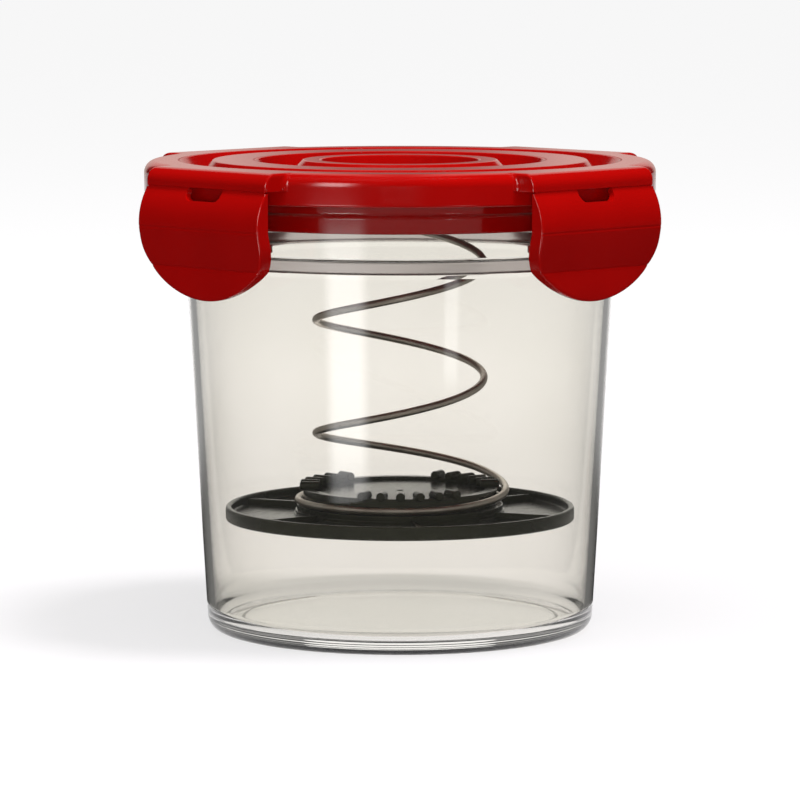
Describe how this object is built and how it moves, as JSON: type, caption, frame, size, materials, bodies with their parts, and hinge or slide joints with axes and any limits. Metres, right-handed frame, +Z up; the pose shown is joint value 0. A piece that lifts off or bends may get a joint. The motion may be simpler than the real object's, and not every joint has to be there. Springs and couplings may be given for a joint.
{
  "type": "kimchi pot",
  "caption": "Clear tapered food pot with a hinged-clip lid and a spring-loaded plate that presses the food down.",
  "frame": {"origin": "centre of the pot's base, on the surface that it stands on", "axes": "+Z up along the pot's axis, -Y out through the front clip, +X out through the right clip"},
  "size_m": [0.1824, 0.1824, 0.156],
  "materials": {
    "clear_plastic": "clear, glossy",
    "red_plastic": "glossy",
    "seal_silicone": "satin",
    "spring_steel": "drawn wire",
    "dark_plastic": "satin"
  },
  "bodies": {
    "pot": {"pot_body": "clear_plastic"},
    "lid": {"lid_shell": "red_plastic", "lid_seal": "seal_silicone", "lid_spring_retainer": "dark_plastic", "press_spring": "spring_steel"},
    "front_clip": {"front_clip": "red_plastic"},
    "right_clip": {"right_clip": "red_plastic"},
    "rear_clip": {"rear_clip": "red_plastic"},
    "left_clip": {"left_clip": "red_plastic"},
    "press": {"press_plate": "dark_plastic", "plate_spring_retainer": "dark_plastic"}
  },
  "joints": [
    {"name": "lid_lift", "type": "slide", "parent": "pot", "child": "lid", "axis": [0, 0, 1], "range_m": [0, 0.13]},
    {"name": "front_clip_hinge", "type": "hinge", "parent": "lid", "child": "front_clip", "pos_m": [0, -0.08704, 0.1502], "axis": [-1, 0, 0], "range_deg": [0, 110]},
    {"name": "right_clip_hinge", "type": "hinge", "parent": "lid", "child": "right_clip", "pos_m": [0.08704, 0, 0.1502], "axis": [0, -1, 0], "range_deg": [0, 110]},
    {"name": "rear_clip_hinge", "type": "hinge", "parent": "lid", "child": "rear_clip", "pos_m": [0, 0.08704, 0.1502], "axis": [1, 0, 0], "range_deg": [0, 110]},
    {"name": "left_clip_hinge", "type": "hinge", "parent": "lid", "child": "left_clip", "pos_m": [-0.08704, 0, 0.1502], "axis": [0, 1, 0], "range_deg": [0, 110]},
    {"name": "press_slide", "type": "slide", "parent": "lid", "child": "press", "axis": [0, 0, 1], "range_m": [0, 0.07], "stiffness_N_per_m": 600, "deforming": ["press_spring"]}
  ]
}
